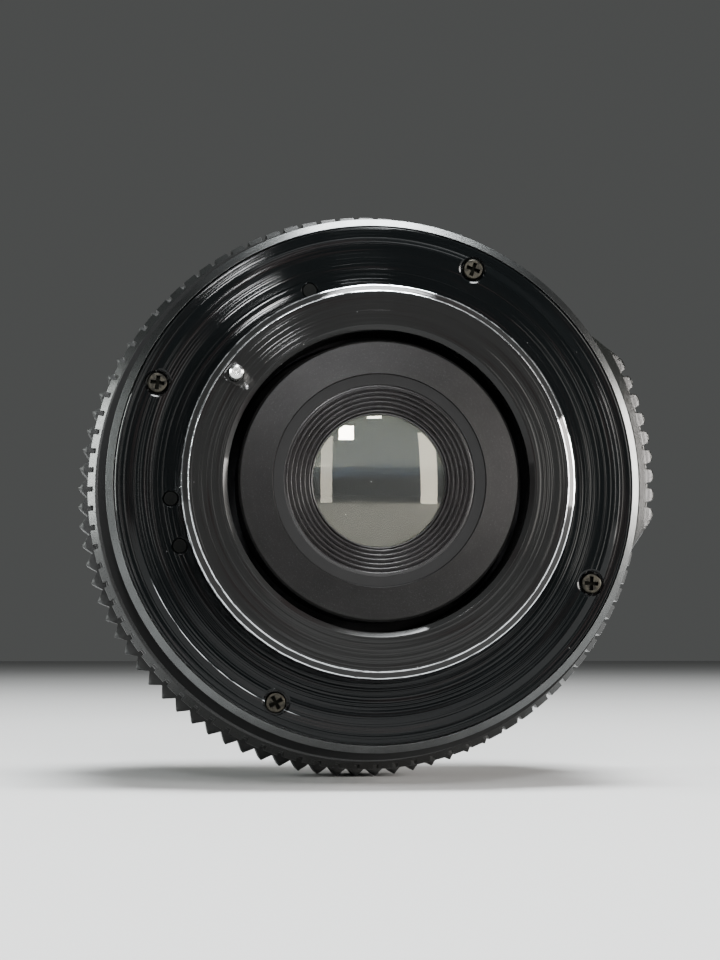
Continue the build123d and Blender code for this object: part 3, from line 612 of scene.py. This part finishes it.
def threaded_collar():
    """The collar with a true helical thread on its outside."""
    first, last, relief = COLLAR_END + 0.7, -0.9, 0.45
    crest = run((THREAD_R, first), (THREAD_R, last), 0.045)
    outline = rounded((COLLAR_BORE_R, 1.9), (COLLAR_BORE_R, COLLAR_END + 0.5, 0.08),
                      (COLLAR_BORE_R + 0.5, COLLAR_END, 0.06), (THREAD_ROOT_R, COLLAR_END, 0.06))
    outline += crest + [(THREAD_ROOT_R, last + 0.02), (THREAD_ROOT_R, relief), (THREAD_ROOT_R, 1.9)]

    def thread(radius, y, angle):
        phase = ((y - COLLAR_END - 1.35) / THREAD_PITCH + angle / 360) % 1.0
        depth = np.clip(1 - np.abs(phase - 0.5) / 0.36, 0, 1) * THREAD_PITCH / 2
        fade = np.clip((y - first) / 0.35, 0, 1)
        on_thread = (radius > THREAD_R - 0.01) & (y > first - 0.01) & (y < last + 0.01)
        return radius - np.where(on_thread, depth * fade, 0)

    collar = turned("mount_collar", outline, 540, thread, 50)
    bore = [(0, COLLAR_END - 1), (1.0, COLLAR_END - 1), (1.0, COLLAR_END - 0.03),
            (0.8, COLLAR_END + 0.12), (0.8, 3), (0, 3)]
    return cut(collar, [moved_to(turned("bore", bore, 48), PIN_CIRCLE_R, PIN_ANGLE)], 50)


def cross_head_screw(name):
    outline = rounded((0, 0.115), (0.98, 0.13, 0.12), (1.16, 0.3, 0.1), (1.16, 0.76), (0.72, 0.78),
                      (0.72, 1.9), (0, 1.9))
    screw = turned(name, outline, 96)
    half, arm = 0.8, 0.2
    cross = [(arm, arm), (half, arm * 1.2), (half, -arm * 1.2), (arm, -arm), (arm * 1.2, -half),
             (-arm * 1.2, -half), (-arm, -arm), (-half, -arm * 1.2), (-half, arm * 1.2), (-arm, arm),
             (-arm * 1.2, half), (arm * 1.2, half)]
    return cut(screw, [prism("recess", cross, -0.1, 0.7, 0.8)], 30)


stands_for(plate_with_holes(), "mount_flange", FLANGE_BLACK)
stands_for(threaded_collar(), "mount_flange", COLLAR_BLACK)
for number, (angle, turn) in enumerate(zip(SCREW_ANGLES, SCREW_TURNS), 1):
    screw = cross_head_screw(f"flange_screw_{number}")
    stands_for(moved_to(screw, SCREW_CIRCLE_R, angle, turn), "flange_screws", SCREW_BRONZE)
for number, angle in enumerate(POST_ANGLES, 1):
    outline = rounded((0, 0.05), (0.72, 0.055, 0.05), (0.8, 0.12, 0.04), (0.8, 1.95), (0, 1.95))
    post = moved_to(turned(f"lever_post_{number}", outline, 72), POST_CIRCLE_R, angle)
    stands_for(post, "lever_posts", POST_BRONZE)
tip = COLLAR_END - 2.2
pin_outline = rounded((0, tip + 0.6), (0.2, tip + 0.5, 0.05), (0.28, tip, 0.05), (0.5, tip, 0.08),
                      (0.75, tip + 0.27, 0.1), (0.75, 2.05), (1.2, 2.05, 0.1), (1.2, 2.65, 0.1),
                      (0.75, 2.65), (0.75, 3.65, 0.3), (0.2, 4.2, 0.1), (0, 4.2))
pin = moved_to(turned("stop_down_pin", pin_outline, 96), PIN_CIRCLE_R, PIN_ANGLE)
stands_for(pin, "aperture_pin", PIN_STEEL)


# ---- Aperture ring and its grip ----
def aperture_band():
    outline = rounded((28.12, 0.43, 0.02), (28.2, 0.35, 0.02), (APERTURE_R, 0.95, 0.04),
                      (APERTURE_R, 6.35, 0.05), (28.75, 6.6, 0.05), (27.06, 6.6), (27.06, 2.1), (28.12, 2.1))
    return turned("aperture_band", outline, 540)


def grip():
    """Two smooth slopes with blocky rounded teeth between them. The lower of two profiles counts at each
    point, one round the axis and one along it, and soft is how gently one passes into the other."""
    low, high = GRIP_TOP
    foot_low, foot_high = GRIP_FOOT
    pitch = (high - low) / (GRIP_TEETH - 0.4)
    under = APERTURE_R - 0.35
    middle = (APERTURE_R + GRIP_R) / 2
    soft = 0.07
    tooth, wall = 0.6, 0.1
    crown, drop = 0.22, 0.58

    def height(angle, y):
        share = np.clip((angle - low) / pitch, 0, GRIP_TEETH)
        within = share - np.floor(np.minimum(share, GRIP_TEETH - 0.5))
        valley = np.clip((within - tooth) / wall, 0, 1) * np.clip((1 - within) / wall, 0, 1)
        round_top = crown * np.abs(within / (tooth / 2) - 1) ** 3
        teeth = GRIP_R - np.where(within < tooth, round_top, crown + drop * valley)
        rising = APERTURE_R + (GRIP_R - APERTURE_R - crown) * (angle - foot_low) / (low - foot_low)
        falling = APERTURE_R + (GRIP_R - APERTURE_R - crown) * (foot_high - angle) / (foot_high - high)
        around = np.where(angle < low, rising, np.where(angle > high, falling, teeth))
        rear = np.interp(y, [1.0, 2.05, 2.12, 2.4, 6.2], [29.06, 30.15, 30.82, 31.12, 31.12])
        front = np.interp(y, [1.0, 5.7, 6.2, 6.25], [31.12, 31.12, 30.6, 29.3])
        along = np.minimum(rear, front)
        both = np.exp(-(around - middle) / soft) + np.exp(-(along - middle) / soft)
        return np.maximum(-soft * np.log(both) + middle, under)

    angles = np.linspace(foot_low - 0.3, foot_high + 0.3, 620)
    rows = np.concatenate([np.linspace(0.98, 2.0, 18), np.linspace(2.04, 2.5, 14),
                           np.linspace(2.6, 5.6, 12), np.linspace(5.7, 6.25, 12)])
    return patch("aperture_grip", angles, rows, height, under - 0.3)


stands_for(aperture_band(), "aperture_ring", BAND_SATIN)
stands_for(grip(), "aperture_ring", GRIP_BLACK)


# ---- Scale ring ----
scale_outline = rounded((27.02, 6.8), (SCALE_R, 6.8, 0.02), (SCALE_R, 10.33, 0.1),
                        (29.75, 10.58, 0.08), (27.02, 10.58))
stands_for(turned("scale_band", scale_outline, 480), "scale_ring", SCALE_BLACK)


# ---- Focus ring ----
def focus_ring():
    """The shell with its notches and V knurl. Widths of teeth and notches are degrees round the axis."""
    notch_floor, valley_r = NOTCH_BAND_R - 0.55, KNURL_R - KNURL_DEPTH
    outline = [(27.26, 10.75), (30.2, 10.75), (30.35, 10.75), (30.4, 10.78)]
    outline += run((30.45, 10.83), (31.2, 11.58), 0.15) + [(31.25, 11.63), (NOTCH_BAND_R, 11.7)]
    outline += run((NOTCH_BAND_R, 11.8), (NOTCH_BAND_R, 13.75), 0.65)
    outline += [(31.22, 13.9), (31.1, 13.99), (30.95, 14.0), (30.72, 14.0), (30.7, 14.05), (30.7, 14.45),
                (30.75, 14.52), (30.9, 14.58), (30.97, 14.61), (DISTANCE_R, 14.7)]
    outline += [(DISTANCE_R, 22.6), (30.98, 22.75), (30.9, 22.86), (30.6, 23.0), (30.5, 23.1), (30.5, 24.35),
                (30.55, 24.4), (31.5, 24.42), (32.2, 24.44), (32.35, 24.5), (32.7, 24.85), (KNURL_R, 25.0)]
    outline += run((KNURL_R, 25.2), (KNURL_R, 31.3), 1.2)
    outline += [(KNURL_R, 31.5), (32.7, 31.65), (32.35, 31.98), (32.2, 32.0), (31.7, 32.02), (31.1, 32.03)]
    outline += [(31.0, 32.1), (31.0, 32.3), (31.0, 37.6), (30.98, 37.75), (30.9, 37.9), (30.4, 38.4),
                (30.25, 38.48), (30.1, 38.5), (29.6, 38.5), (29.42, 38.4), (29.42, 32.54), (27.26, 32.54)]
    per_tooth = np.array([-2.0, -1.93, -1.84, -1.2, -0.66, -0.56, -0.53, -0.12, 0.12, 0.53, 0.56, 0.66, 1.2,
                          1.84, 1.93])
    pitch = 360 / TEETH
    valley_half, slope_width = 0.1, 1.78
    notch_half, wall_width = 0.545, 0.05
    knurl_back, knurl_front = 24.38, 32.06
    notch_back, notch_front = 10.74, 14.02
    angles = (np.arange(TEETH)[:, None] * pitch + per_tooth[None, :]).ravel() % 360
    angles = np.sort(angles)

    def shape(radius, y, angle):
        off = np.abs((angle + pitch / 2) % pitch - pitch / 2)
        slope = np.clip((off - valley_half) / slope_width, 0, 1)
        peak = valley_r + KNURL_DEPTH * slope
        in_knurl = (y > knurl_back) & (y < knurl_front)
        notch = notch_floor + np.clip((off - notch_half) / wall_width, 0, 1) * 2
        in_notch = (y > notch_back) & (y < notch_front) & (radius > 30.3)
        radius = np.where(in_knurl, np.minimum(radius, peak), radius)
        return np.where(in_notch, np.minimum(radius, notch), radius)

    ring = turned("focus_ring_shell", outline, angles, shape, 28)
    cutters = []
    for angle in FOCUS_SCREW_ANGLES:
        hole = [(0, -34), (0.95, -34), (0.95, -30.98), (0.82, -30.86), (0.82, -28.5), (0, -28.5)]
        cutters.append(facing_out(turned("bore", hole, 40), angle, 33.6))
    return cut(ring, cutters, 28)


stands_for(focus_ring(), "focus_ring", FOCUS_BLACK)


# ---- Front barrel, name ring and the rings inside the front ----
def front_barrel():
    first, last = 43.1, 46.5
    thread = run((FILTER_R, last), (FILTER_R, first), 0.045)
    outline = rounded((17.4, 38.52), (25.6, 38.52), (25.6, 34.9), (29.1, 34.9), (29.1, 40.6, 0.1),
                      (28.8, 41.0, 0.1), (FRONT_R, 42.2, 0.15), (FRONT_R, 46.7, 0.08), (27.1, 47.0, 0.08),
                      (24.6, 47.0, 0.06))
    outline += thread + [(23.4, first), (23.4, 40.3), (17.4, 40.3)]

    def helix(radius, y, angle):
        phase = ((y + angle / 360 * FILTER_PITCH) / FILTER_PITCH) % 1.0
        depth = np.clip(1 - np.abs(phase - 0.5) / 0.42, 0, 1) * 0.38
        fade = np.clip((last - y) / 0.2, 0, 1) * np.clip((y - first - 0.2) / 0.2, 0, 1)
        on_thread = (np.abs(radius - FILTER_R) < 0.01) & (y < last + 0.01) & (y > first - 0.01)
        return radius + np.where(on_thread, depth * fade, 0)

    return turned("front_barrel_shell", outline, 480, helix, 50)


def name_ring():
    """A shallow cone with fine steps that keep stray light off the glass."""
    outline = rounded((23.35, 40.32), (23.35, 42.9, 0.05), (22.75, 42.9, 0.05))
    steps = 9
    for step in range(steps):
        radius, y = 22.5 - step * 0.7, 42.86 - step * 0.08
        outline += [(radius, y), (radius - 0.3, y - 0.01), (radius - 0.36, y - 0.09)]
        outline += [(radius - 0.64, y - 0.1)]
    outline += rounded((16.0, 42.07, 0.04), (15.9, 42.05, 0.03), (15.9, 41.6), (22.7, 41.6), (22.7, 40.32))
    return turned("name_ring_cone", outline, 360)


def stray_light_ring(name, inner, outer, back, front):
    """A plain retaining ring or spacer with fine ridges in its bore."""
    bore = []
    pitch = 0.32
    count = int((front - back - 0.2) / pitch)
    for ridge in range(count):
        y = front - 0.1 - ridge * pitch
        bore += [(inner, y), (inner, y - 0.1), (inner + 0.12, y - 0.2)]
    outline = [(outer, back), (outer, front), (inner + 0.1, front)] + bore + [(inner, back)]
    return turned(name, outline, 240)


stands_for(front_barrel(), "front_barrel", FRONT_BLACK)
stands_for(name_ring(), "name_ring", CELL_RIDGES)
RETAINERS = {
    "front_element_retainer": (14.2, 15.58, 38.75, 40.6),
    "second_element_retainer": (10.7, 11.96, 29.8, 31.2),
    "third_element_retainer": (8.05, 8.96, 21.9, 23.3),
    "rear_spacer_1": (7.0, 7.76, -1.55, 0.45),
    "rear_spacer_2": (6.9, 7.76, 2.45, 3.68),
    "rear_retainer": (6.7, 7.76, 7.15, 8.6),
}
for node, sizes in RETAINERS.items():
    stands_for(stray_light_ring(f"{node}_ring", *sizes), node, INNER_BLACK)


# ---- Rear cell ----
def rear_cell():
    """Three pieces of one turning: the glass lip and ridges, a plain ring, and the satin disc."""
    first, last, ridges = 7.45, 10.1, 6
    pitch = (last - first) / (ridges - 0.5)
    ridged = [(7.74, -2.6), (7.1, -3.45), (7.1, -3.5), (7.1, -3.8), (7.13, -3.87), (7.2, -3.9)]
    for ridge in range(ridges):
        radius = first + ridge * pitch
        y = -4.0 - ridge * 0.082
        ridged += [(radius - 0.2, y + 0.36), (radius - 0.035, y + 0.02), (radius - 0.015, y),
                   (radius + 0.015, y), (radius + 0.035, y + 0.02)]
    ridged += [(last + 0.02, -4.3), (last + 0.1, -4.3), (last + 0.1, -2.6)]
    plain = rounded((last + 0.1, -2.6), (last + 0.1, -4.53), (11.28, -4.57, 0.01), (11.3, -4.55),
                    (11.3, -2.6))
    disc = rounded((11.3, -2.6), (11.3, -4.57), (11.37, -4.69, 0.03), (14.75, -4.3, 0.06),
                   (CELL_R, -4.05, 0.06), (CELL_R, 5.9), (14.4, 5.9), (14.4, 10.9), (13.4, 10.9),
                   (13.4, -2.4))
    return [(turned("rear_cell_ridges", ridged, 360), CELL_RIDGES),
            (turned("rear_cell_ring", plain, 360), CELL_MATT),
            (turned("rear_cell_disc", disc, 360), CELL_SATIN)]


for item, material in rear_cell():
    stands_for(item, "rear_cell", material)


# ---- Glass ----
def sag(curve, radius):
    """How far a spherical surface falls away at a radius."""
    return (abs(curve) - sqrt(curve * curve - radius * radius)) * (1 if curve > 0 else -1)


def glass(name, outer, back, front, back_curve, front_curve):
    """An element between its vertices, with small ground bevels. A positive curve is convex."""
    clear = outer - 0.15
    steps = 20
    radii = [clear * step / steps for step in range(steps + 1)]
    rear = [(radius, back + sag(back_curve, radius)) for radius in radii]
    fore = [(radius, front - sag(front_curve, radius)) for radius in reversed(radii)]
    rim = [(outer, rear[-1][1] + 0.08), (outer, fore[0][1] - 0.08)]
    return turned(name, rear + rim + fore, 180)


ELEMENTS = {
    "element_1": (15.5, 38.2, 40.2, -22.0, 60.0),
    "element_2": (11.9, 27.2, 31.6, 80.0, 30.0),
    "element_3": (8.9, 17.5, 22.5, 25.0, 40.0),
    "element_4": (7.75, 5.0, 6.2, -18.0, -25.0),
    "element_5": (7.75, -0.3, 2.9, 30.0, 45.0),
    "element_6": (7.75, -4.1, -1.2, 40.0, 60.0),
}
for node, sizes in ELEMENTS.items():
    coat = CREAM_GLASS if node in ("element_6", "element_2") else BLUE_GLASS
    stands_for(glass(f"{node}_glass", *sizes), node, coat)


# ---- Figures and marks on the rings ----
def bent(item, radius, angle, y):
    """Wraps a flat shape round a ring: its x runs along the ring and its y along the axis."""
    for vertex in item.data.vertices:
        x, up, out = vertex.co / MM
        turn = radians(angle) - x / radius
        reach = radius + (FIGURE_HEIGHT if out > 0 else -FIGURE_ROOT)
        vertex.co = Vector((reach * cos(turn), y + up, reach * sin(turn))) * MM
    return item


def figure(text, size):
    """A figure as a thin flat mesh, cut fine enough to be bent."""
    curve = bpy.data.curves.new("figure", "FONT")
    curve.body = text
    curve.size = size * MM
    curve.align_x = "CENTER"
    curve.align_y = "CENTER"
    curve.extrude = FIGURE_HEIGHT * MM
    curve.resolution_u = 4
    holder = new_object("figure_source", curve)
    bpy.context.view_layer.update()
    mesh = bpy.data.meshes.new_from_object(holder.evaluated_get(bpy.context.evaluated_depsgraph_get()))
    bpy.data.objects.remove(holder)
    shape = bmesh.new()
    shape.from_mesh(mesh)
    bmesh.ops.remove_doubles(shape, verts=shape.verts, dist=1e-8)
    strip = 0.3 * MM
    for line in range(-12, 13):
        everything = shape.verts[:] + shape.edges[:] + shape.faces[:]
        bmesh.ops.bisect_plane(shape, geom=everything, plane_co=(line * strip, 0, 0), plane_no=(1, 0, 0))
    shape.to_mesh(mesh)
    shape.free()
    return new_object("figure_part", mesh)


def bar(width, length):
    """A flat mark, with its width round the axis and its length along it."""
    half, thick = width / 2, FIGURE_HEIGHT
    corners = [(-half, -thick), (half, -thick), (half, thick), (-half, thick)]
    return prism("figure_part", corners, -length / 2, length / 2)


def one_piece(name, parts, node, material):
    """Joins parts into one piece that rides as the node does, without hiding anything more."""
    whole = bmesh.new()
    for part in parts:
        whole.from_mesh(part.data)
        bpy.data.objects.remove(part)
    mesh = bpy.data.meshes.new(name)
    whole.to_mesh(mesh)
    whole.free()
    item = new_object(name, mesh)
    item.data.materials.append(material)
    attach(item, BODY_OF[node])
    return item


stops = ["2.8", "4", "5.6", "8", "11", "16"]
stop_figures = [bent(figure(text, 2.5), APERTURE_R, INDEX_ANGLE - CLICK_STEP * place, 3.7)
                for place, text in enumerate(stops)]
one_piece("aperture_figures", stop_figures, "aperture_ring", FIGURE_WHITE)


def focus_angle(distance_m):
    """How far the ring turns from infinity to focus at a distance."""
    extension = FOCAL_LENGTH ** 2 / (distance_m * 1000 - FOCAL_LENGTH)
    return FOCUS_THROW * extension / HELICOID_TRAVEL


distances = (5, 3, 2, 1.5, 1, 0.7, 0.5, 0.4, 0.3)
metre_figures = [bent(figure("∞", 3.4), DISTANCE_R, INDEX_ANGLE, 19.4)]
metre_marks = [bent(bar(0.3, 1.5), DISTANCE_R, INDEX_ANGLE, 16.4)]
for distance in distances:
    angle = INDEX_ANGLE + focus_angle(distance)
    metre_figures.append(bent(figure(f"{distance:g}", 2.5), DISTANCE_R, angle, 19.4))
    metre_marks.append(bent(bar(0.3, 1.5), DISTANCE_R, angle, 16.4))
one_piece("distance_figures", metre_figures, "focus_ring", FIGURE_WHITE)
one_piece("distance_marks", metre_marks, "focus_ring", FIGURE_ORANGE)

depth_marks = []
for step in (-28, -14, -7, 7, 14, 28):
    depth_marks.append(bent(bar(0.25, 1.2), SCALE_R, INDEX_ANGLE + step, 9.6))
    stop = str(round(abs(step) * 4 / 7))
    depth_marks.append(bent(figure(stop, 1.7), SCALE_R, INDEX_ANGLE + step, 8.1))
one_piece("depth_of_field_marks", depth_marks, "scale_ring", FIGURE_WHITE)
one_piece("index_mark", [bent(bar(0.45, 2.9), SCALE_R, INDEX_ANGLE, 8.7)], "scale_ring", FIGURE_ORANGE)


# ---- Studio: floor, lights and camera ----
def floor():
    mesh = bpy.data.meshes.new("studio_floor")
    half, level = 3.0, cad_box[0].z
    corners = [(-half, -half, level), (half, -half, level), (half, half, level), (-half, half, level)]
    mesh.from_pydata(corners, [], [(0, 1, 2, 3)])
    item = new_object("studio_floor", mesh)
    paint = Finish("studio_floor_pale", IOR=1.4)
    tone = paint.mix(paint.noise(0.004, 3.0), (0.44, 0.44, 0.44), (0.5, 0.5, 0.495))
    item.data.materials.append(paint.use(Base_Color=tone, Roughness=0.7))


def softbox(name, direction, distance, size, power, tint):
    """An area light, square or (width, height), that points at the lens. The camera doesn't see it, directly
    or through glass."""
    light = bpy.data.lights.new(name, "AREA")
    wide, high = size if isinstance(size, tuple) else (size, size)
    light.shape = "RECTANGLE"
    light.size, light.size_y = wide, high
    light.energy = power
    light.color = tint
    item = bpy.data.objects.new(name, light)
    bpy.context.scene.collection.objects.link(item)
    item.visible_camera = item.visible_transmission = False
    aim = Vector((0, 0.01, 0))
    item.location = aim + Vector(direction).normalized() * distance
    item.rotation_euler = (aim - item.location).to_track_quat("-Z", "Y").to_euler()


def behind_camera(azimuth, off_axis):
    """A direction towards the camera side: azimuth about the optical axis, off_axis away from it."""
    out = sin(radians(off_axis))
    return (out * cos(radians(azimuth)), -cos(radians(off_axis)), out * sin(radians(azimuth)))


floor()
world = bpy.data.worlds.new("studio")
world.use_nodes = True
world.node_tree.nodes["Background"].inputs["Color"].default_value = (0.60, 0.62, 0.61, 1)
world.node_tree.nodes["Background"].inputs["Strength"].default_value = 0.13
bpy.context.scene.world = world
# Nine softboxes, each of which lights the whole scene. The two small ones make streaks on the flange.
softbox("top_box", (0.08, -0.14, 1), 0.7, (0.3, 0.3), 18, (0.96, 0.99, 1.0))
softbox("left_box", (-1, 0.09, 0.1), 0.7, (0.12, 0.5), 9, (0.95, 1.0, 0.97))
softbox("right_box", (1, -0.1, 0.07), 0.8, (0.3, 0.5), 20, (1.0, 0.96, 0.92))
softbox("right_card", behind_camera(0, 36), 0.6, (0.12, 0.34), 5, (1.0, 0.96, 0.93))
softbox("top_card", behind_camera(85, 36), 0.6, (0.34, 0.12), 1.2, (0.98, 0.99, 1.0))
softbox("right_strip", behind_camera(16, 23), 0.6, (0.06, 0.3), 0.7, (1.0, 0.97, 0.92))
softbox("left_strip", behind_camera(150, 14), 0.6, (0.04, 0.26), 0.25, (1.0, 0.98, 0.95))
softbox("key_box", behind_camera(104.9, 21), 0.6, 0.05, 1.5, (0.97, 0.98, 1.0))
softbox("second_box", behind_camera(81.6, 27.8), 0.6, 0.05, 0.5, (0.95, 0.98, 1.0))

left, below = radians(-CAMERA_LEFT), radians(-CAMERA_BELOW)
back = Vector((sin(left) * cos(below), -cos(left) * cos(below), sin(below)))
right = (-back).cross(Vector((0, 0, 1))).normalized()
collar_end = Vector((0, COLLAR_END * MM, 0))
lens = bpy.data.cameras.new("camera")
lens.lens = 83.3
lens.sensor_width = 36.0
lens.clip_start = 0.01
camera = bpy.data.objects.new("camera", lens)
bpy.context.scene.collection.objects.link(camera)
camera.location = collar_end + back * CAMERA_DISTANCE
aim = collar_end - right * FRAMING_SHIFT
camera.rotation_euler = (aim - camera.location).to_track_quat("-Z", "Y").to_euler()
bpy.context.scene.camera = camera
